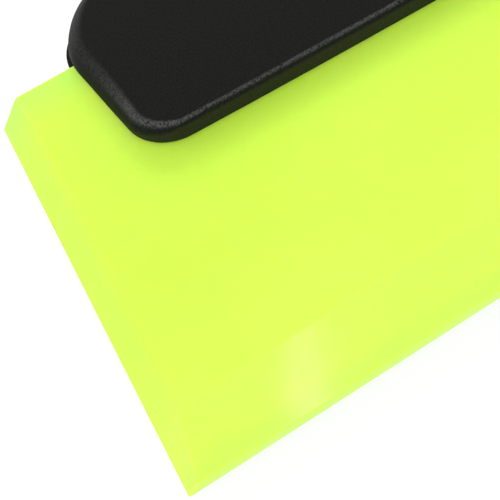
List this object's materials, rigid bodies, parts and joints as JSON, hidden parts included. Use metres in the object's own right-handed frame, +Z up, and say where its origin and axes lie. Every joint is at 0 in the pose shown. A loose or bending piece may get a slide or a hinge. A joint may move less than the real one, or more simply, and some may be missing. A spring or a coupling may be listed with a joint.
{
  "type": "squeegee applicator",
  "caption": "Hand squeegee for pressing down vinyl film: a bevelled flexible polyurethane blade clamped in the jaw of a black two-shell palm handle.",
  "frame": {"origin": "on the surface that the tool lies on, under the middle of its bounding box", "axes": "+Z up from the flat underside, -Y towards the blade's working edge, +X along the blade"},
  "size_m": [0.1458, 0.145, 0.019],
  "materials": {
    "yellow_green_polyurethane": "satin, slightly translucent cast polyurethane",
    "black_grained_plastic": "fine moulded grain",
    "zinc_plated_steel": "zinc plated",
    "brass": "machined"
  },
  "bodies": {
    "lower_half": {"lower_shell": "black_grained_plastic"},
    "upper_half": {"upper_shell": "black_grained_plastic", "jaw_left_insert": "brass", "jaw_middle_insert": "brass", "jaw_right_insert": "brass", "grip_front_insert": "brass", "grip_rear_insert": "brass"},
    "blade": {"blade": "yellow_green_polyurethane"},
    "jaw_left_screw": {"jaw_left_screw": "zinc_plated_steel"},
    "jaw_middle_screw": {"jaw_middle_screw": "zinc_plated_steel"},
    "jaw_right_screw": {"jaw_right_screw": "zinc_plated_steel"},
    "grip_front_screw": {"grip_front_screw": "zinc_plated_steel"},
    "grip_rear_screw": {"grip_rear_screw": "zinc_plated_steel"}
  },
  "joints": [
    {"name": "clamp_opening", "type": "slide", "parent": "lower_half", "child": "upper_half", "axis": [0, 0, 1], "range_m": [0, 0.001]},
    {"name": "blade_slide", "type": "slide", "parent": "lower_half", "child": "blade", "axis": [0, -1, 0], "range_m": [0, 0.018]},
    {"name": "jaw_left_screw_turn", "type": "hinge", "parent": "lower_half", "child": "jaw_left_screw", "pos_m": [-0.035, -0.011, 0.002], "axis": [0, 0, -1], "range_deg": [0, 720]},
    {"name": "jaw_middle_screw_turn", "type": "hinge", "parent": "lower_half", "child": "jaw_middle_screw", "pos_m": [0, -0.011, 0.002], "axis": [0, 0, -1], "range_deg": [0, 720]},
    {"name": "jaw_right_screw_turn", "type": "hinge", "parent": "lower_half", "child": "jaw_right_screw", "pos_m": [0.035, -0.011, 0.002], "axis": [0, 0, -1], "range_deg": [0, 720]},
    {"name": "grip_front_screw_turn", "type": "hinge", "parent": "lower_half", "child": "grip_front_screw", "pos_m": [0, 0.0205, 0.002], "axis": [0, 0, -1], "range_deg": [0, 720]},
    {"name": "grip_rear_screw_turn", "type": "hinge", "parent": "lower_half", "child": "grip_rear_screw", "pos_m": [0, 0.0585, 0.002], "axis": [0, 0, -1], "range_deg": [0, 720]}
  ],
  "couplings": [
    {"joint": "jaw_left_screw_turn", "follows": "clamp_opening", "rad_per_m": 12566},
    {"joint": "jaw_middle_screw_turn", "follows": "clamp_opening", "rad_per_m": 12566},
    {"joint": "jaw_right_screw_turn", "follows": "clamp_opening", "rad_per_m": 12566},
    {"joint": "grip_front_screw_turn", "follows": "clamp_opening", "rad_per_m": 12566},
    {"joint": "grip_rear_screw_turn", "follows": "clamp_opening", "rad_per_m": 12566}
  ]
}
